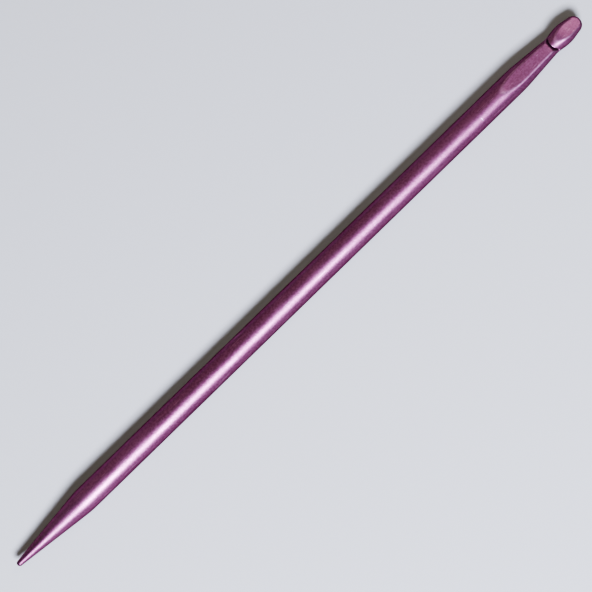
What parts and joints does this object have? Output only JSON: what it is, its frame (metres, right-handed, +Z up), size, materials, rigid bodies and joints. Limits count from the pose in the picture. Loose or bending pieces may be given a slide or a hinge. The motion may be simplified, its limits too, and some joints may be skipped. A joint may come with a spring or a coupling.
{
  "type": "crochet hook",
  "caption": "One-piece anodised aluminium crochet hook with a tapered neck, an undercut throat and rounded head, and a needle point at the other end.",
  "frame": {"origin": "on the resting plane, under the middle of the hook's length", "axes": "+X along the rod towards the hooked head, +Y across the rod, +Z up, the way the throat faces"},
  "size_m": [0.15, 0.005, 0.005],
  "materials": {
    "anodised_aluminium": "satin magenta-purple anodising over a polished, tumbled rod"
  },
  "bodies": {
    "root": {"needle_point": "anodised_aluminium", "shaft": "anodised_aluminium", "throat": "anodised_aluminium", "head": "anodised_aluminium"}
  },
  "joints": []
}
